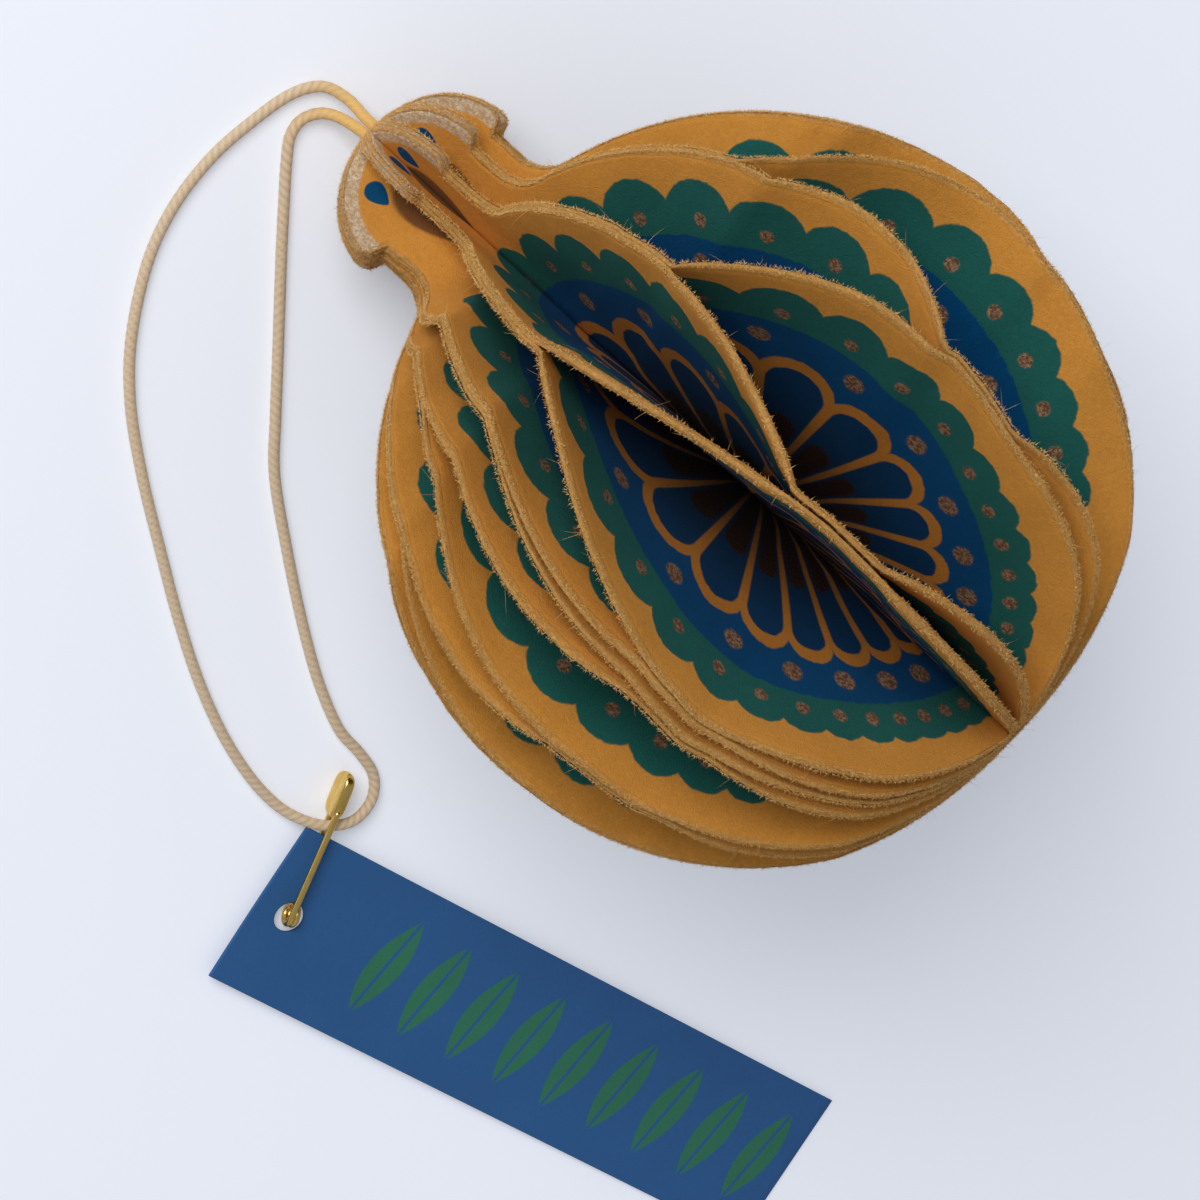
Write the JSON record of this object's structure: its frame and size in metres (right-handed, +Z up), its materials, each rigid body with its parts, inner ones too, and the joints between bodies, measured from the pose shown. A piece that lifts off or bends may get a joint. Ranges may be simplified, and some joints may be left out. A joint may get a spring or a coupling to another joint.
{
  "type": "honeycomb paper ornament",
  "caption": "Handmade paper bauble of stiff printed leaves fanned open round one spine, with a leaf cap, a hanging cord and a tag on a safety pin.",
  "frame": {"origin": "table level under the centre of the ornament's box, measured without the cord, the pin and the tag", "axes": "+Z up; +X along the table under the spine, from the cap towards the foot; +Y across, to the side away from the tag"},
  "size_m": [0.1518, 0.1209, 0.0794],
  "materials": {
    "paper": "matte",
    "cord": "matte",
    "pin": "polished",
    "card": "matte"
  },
  "bodies": {
    "root": {"leaf_01": "paper", "leaf_02": "paper", "leaf_03": "paper", "leaf_04": "paper", "leaf_05": "paper", "leaf_06": "paper", "leaf_07": "paper", "leaf_08": "paper", "leaf_09": "paper", "leaf_10": "paper", "leaf_11": "paper", "leaf_12": "paper", "leaf_13": "paper", "leaf_14": "paper", "leaf_15": "paper", "leaf_16": "paper", "leaf_17": "paper", "leaf_18": "paper", "leaf_19": "paper", "leaf_20": "paper", "leaf_21": "paper", "leaf_22": "paper", "leaf_23": "paper", "leaf_24": "paper", "leaf_25": "paper", "leaf_26": "paper", "leaf_27": "paper", "leaf_28": "paper", "hanging_cord": "cord", "safety_pin": "pin", "tag": "card"}
  },
  "joints": []
}
